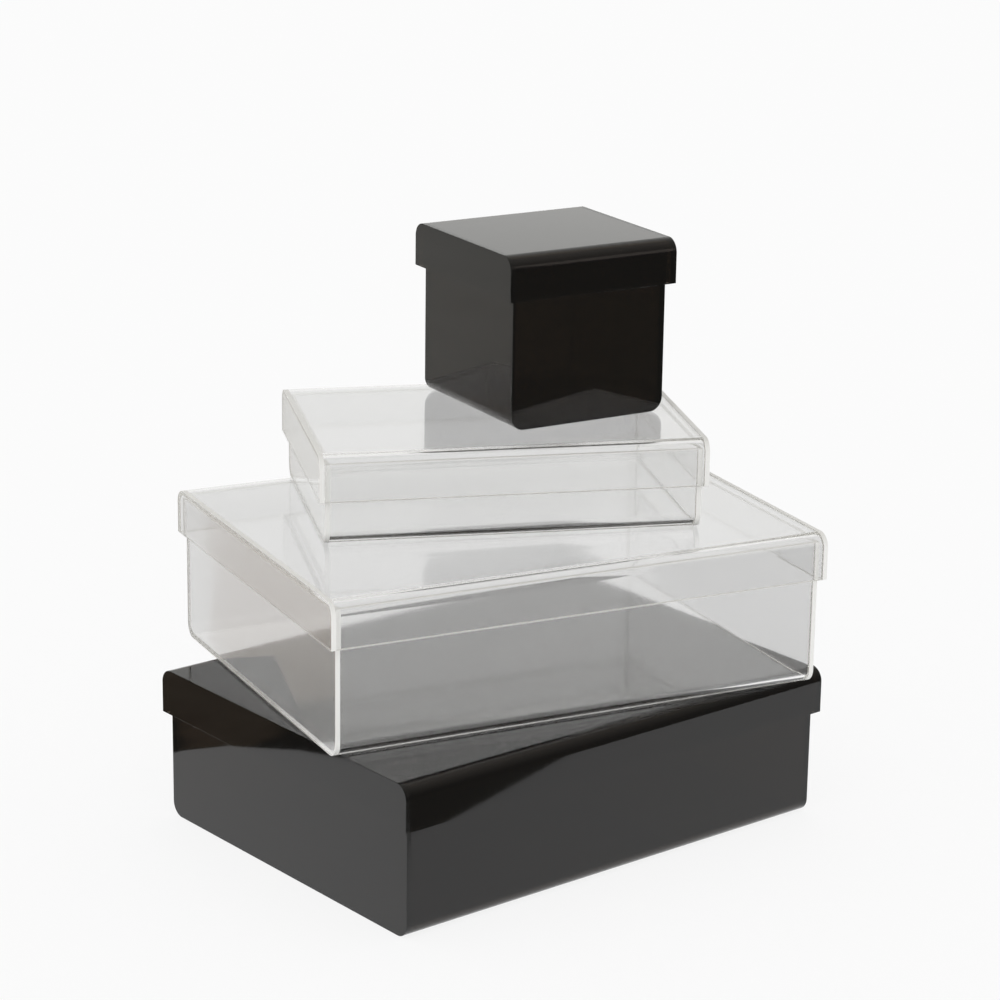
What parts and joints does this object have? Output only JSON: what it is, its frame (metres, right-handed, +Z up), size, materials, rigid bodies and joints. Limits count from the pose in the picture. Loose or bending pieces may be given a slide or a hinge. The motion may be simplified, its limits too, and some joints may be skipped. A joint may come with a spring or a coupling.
{
  "type": "stack of lidded acrylic storage boxes",
  "caption": "Lidded acrylic storage boxes in graded sizes, smoke and clear, stacked at different angles. Each lid and base is a bent sheet closed by flat end plates.",
  "frame": {"origin": "middle of the bottom box's flat underside, on the surface that the stack stands on", "axes": "+Z up through the stack, +X along the bottom box's longer side, which its bends follow, and +Y across it"},
  "size_m": [0.3786, 0.3192, 0.3626],
  "materials": {
    "smoke_acrylic": "dark grey see-through acrylic sheet, polished",
    "clear_acrylic": "clear acrylic sheet, polished"
  },
  "bodies": {
    "large_smoke_base": {"large_smoke_base_sheet": "smoke_acrylic", "large_smoke_base_left_end": "smoke_acrylic", "large_smoke_base_right_end": "smoke_acrylic"},
    "large_smoke_lid": {"large_smoke_lid_sheet": "smoke_acrylic", "large_smoke_lid_left_end": "smoke_acrylic", "large_smoke_lid_right_end": "smoke_acrylic"},
    "large_clear_base": {"large_clear_base_sheet": "clear_acrylic", "large_clear_base_left_end": "clear_acrylic", "large_clear_base_right_end": "clear_acrylic"},
    "large_clear_lid": {"large_clear_lid_sheet": "clear_acrylic", "large_clear_lid_left_end": "clear_acrylic", "large_clear_lid_right_end": "clear_acrylic"},
    "medium_clear_base": {"medium_clear_base_sheet": "clear_acrylic", "medium_clear_base_left_end": "clear_acrylic", "medium_clear_base_right_end": "clear_acrylic"},
    "medium_clear_lid": {"medium_clear_lid_sheet": "clear_acrylic", "medium_clear_lid_left_end": "clear_acrylic", "medium_clear_lid_right_end": "clear_acrylic"},
    "small_smoke_base": {"small_smoke_base_sheet": "smoke_acrylic", "small_smoke_base_front_end": "smoke_acrylic", "small_smoke_base_back_end": "smoke_acrylic"},
    "small_smoke_lid": {"small_smoke_lid_sheet": "smoke_acrylic", "small_smoke_lid_left_end": "smoke_acrylic", "small_smoke_lid_right_end": "smoke_acrylic"}
  },
  "joints": [
    {"name": "large_smoke_lid_lift", "type": "slide", "parent": "large_smoke_base", "child": "large_smoke_lid", "axis": [0, 0, 1], "range_m": [0, 0.1]},
    {"name": "large_clear_base_lift", "type": "slide", "parent": "large_smoke_lid", "child": "large_clear_base", "axis": [0, 0, 1], "range_m": [0, 0.05]},
    {"name": "large_clear_lid_lift", "type": "slide", "parent": "large_clear_base", "child": "large_clear_lid", "axis": [0, 0, 1], "range_m": [0, 0.1]},
    {"name": "medium_clear_base_lift", "type": "slide", "parent": "large_clear_lid", "child": "medium_clear_base", "axis": [0, 0, 1], "range_m": [0, 0.05]},
    {"name": "medium_clear_lid_lift", "type": "slide", "parent": "medium_clear_base", "child": "medium_clear_lid", "axis": [0, 0, 1], "range_m": [0, 0.06]},
    {"name": "small_smoke_base_lift", "type": "slide", "parent": "medium_clear_lid", "child": "small_smoke_base", "axis": [0, 0, 1], "range_m": [0, 0.05]},
    {"name": "small_smoke_lid_lift", "type": "slide", "parent": "small_smoke_base", "child": "small_smoke_lid", "axis": [0, 0, 1], "range_m": [0, 0.11]}
  ]
}
